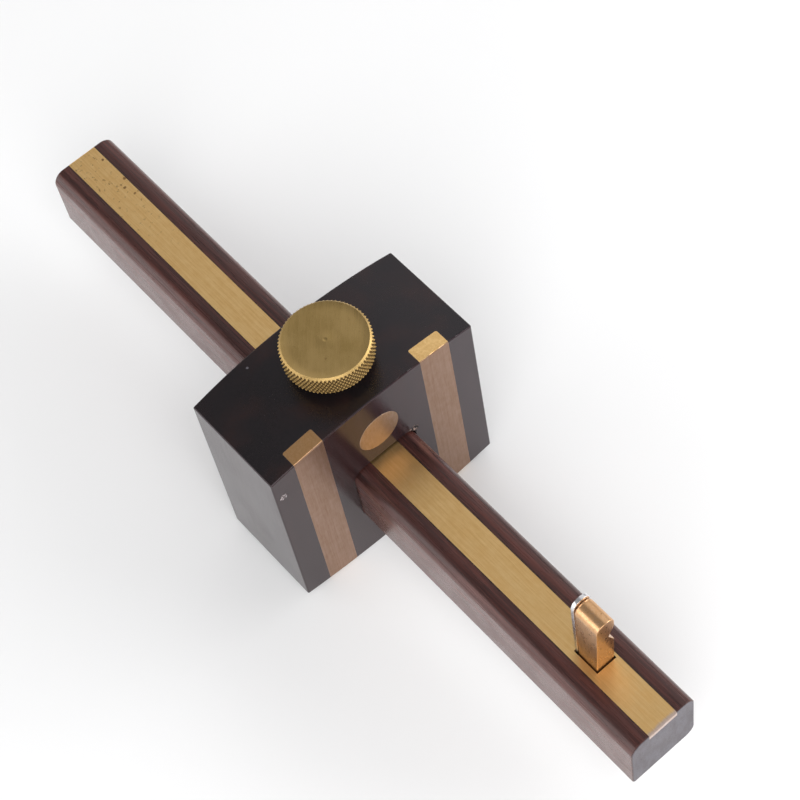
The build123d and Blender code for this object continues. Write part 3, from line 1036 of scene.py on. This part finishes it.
class GAUGE_OT_knob(bpy.types.Operator):
    """Shape the knurled thumb knob"""

    bl_idname = "gauge.knob"
    bl_label = "Thumb knob"

    def execute(self, context):
        colours = context.scene.gauge_colours
        points, faces, knurl = knob_shape(context.scene.gauge_sizes)
        finish = turned_brass_finish("brass_knob", colours.turned_brass, colours)
        body, slot, nodes = "thumb_screw", "brass_turned", ["thumb_knob"]
        add_piece("knurled_knob", points, faces, finish, body, nodes, sharp_angle=40, flat=knurl)
        return {"FINISHED"}


class GAUGE_OT_screw(bpy.types.Operator):
    """Shape the threaded shank of the thumb screw"""

    bl_idname = "gauge.screw"
    bl_label = "Thumb screw"

    def execute(self, context):
        colours = context.scene.gauge_colours
        points, faces = screw_shape(context.scene.gauge_sizes)
        finish = rubbed_brass_finish("brass_screw", colours.turned_brass, colours)
        body, slot, nodes = "thumb_screw", "brass_turned", ["thumb_screw_shank"]
        add_piece("threaded_shank", points, faces, finish, body, nodes, sharp_angle=60)
        return {"FINISHED"}


class GAUGE_OT_knife(bpy.types.Operator):
    """Shape the knife"""

    bl_idname = "gauge.knife"
    bl_label = "Knife"

    def execute(self, context):
        scene = context.scene
        points, faces = knife_shape(scene.gauge_sizes)
        finish = steel_finish(scene.gauge_colours)
        body, slot, nodes = "knife_blade", "tool_steel", ["knife"]
        add_piece("cutting_knife", points, faces, finish, body, nodes, sharp_angle=32)
        return {"FINISHED"}


class GAUGE_OT_wedge(bpy.types.Operator):
    """Shape the wedge"""

    bl_idname = "gauge.wedge"
    bl_label = "Wedge"

    def execute(self, context):
        colours = context.scene.gauge_colours
        points, faces = wedge_shape(context.scene.gauge_sizes)
        finish = rubbed_brass_finish("brass_wedge", colours.wedge_brass, colours)
        body, slot, nodes = "knife_wedge", "brass_polished", ["wedge"]
        add_piece("brass_wedge", points, faces, finish, body, nodes, sharp_angle=32)
        return {"FINISHED"}


class GAUGE_OT_stage(bpy.types.Operator):
    """Set up the floor, the lights and the camera"""

    bl_idname = "gauge.stage"
    bl_label = "Stage"

    def execute(self, context):
        scene = context.scene
        material, tree, surface = new_finish("floor_paper", Roughness=0.75)
        fine = noise(tree, placed(tree), 0.02)
        pale = scene.gauge_colours.floor
        shade = tuple(value * FLOOR_SHADE for value in pale)
        feed(tree, surface, {"Base Color": blend(tree, fine, shade, pale)})
        studio_floor(material)
        world = bpy.data.worlds.new("room")
        world.use_nodes = True
        room = world.node_tree
        background = room.nodes["Background"]
        background.inputs["Color"].default_value = rgba(ROOM_TINT)
        direction = put(room, "TexCoord").outputs["Generated"]
        sockets = {0: direction, 1: PALE_WALL}
        wall = put(room, "VectorMath", sockets, operation="DOT_PRODUCT").outputs["Value"]
        glow = spread(room, wall, 0.45, 0.72, 0.0, scene.gauge_stage.window)
        feed(room, background.inputs, {"Strength": maths(room, "ADD", glow, scene.gauge_stage.sky)})
        scene.world = world
        for name, light in SOFTBOXES.items():
            softbox(name, *light)
        scene.view_settings.view_transform = "Standard"
        aimed_camera(scene.gauge_stage)
        return {"FINISHED"}


class GAUGE_PT_panel(bpy.types.Panel):
    """Lists the gauge's sizes, colours and steps"""

    bl_idname = "GAUGE_PT_panel"
    bl_label = "Marking gauge"
    bl_space_type = "VIEW_3D"
    bl_region_type = "UI"
    bl_category = "Marking gauge"

    def draw(self, context):
        scene = context.scene
        for group in (scene.gauge_sizes, scene.gauge_colours, scene.gauge_stage):
            box = self.layout.box()
            for name in group.__annotations__:
                box.prop(group, name)
        for step in STEPS:
            self.layout.operator(step.bl_idname)


STEPS = (
    GAUGE_OT_effects,
    GAUGE_OT_woods,
    GAUGE_OT_strips,
    GAUGE_OT_nut_and_shoe,
    GAUGE_OT_knob,
    GAUGE_OT_screw,
    GAUGE_OT_knife,
    GAUGE_OT_wedge,
    GAUGE_OT_stage,
)
GROUPS = {"gauge_sizes": GaugeSizes, "gauge_colours": GaugeColours, "gauge_stage": GaugeStage}


def register():
    """Registers the groups, operators and panel."""
    for name, group in GROUPS.items():
        bpy.utils.register_class(group)
        setattr(bpy.types.Scene, name, PointerProperty(type=group))
    for made in (*STEPS, GAUGE_PT_panel):
        bpy.utils.register_class(made)


def unregister():
    """Takes the panel, operators and groups away again."""
    for made in reversed((*STEPS, GAUGE_PT_panel)):
        bpy.utils.unregister_class(made)
    for name, group in reversed(GROUPS.items()):
        delattr(bpy.types.Scene, name)
        bpy.utils.unregister_class(group)


def main():
    """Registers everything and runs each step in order."""
    register()
    for step in STEPS:
        family, action = step.bl_idname.split(".")
        getattr(getattr(bpy.ops, family), action)()


if __name__ == "__main__":
    main()
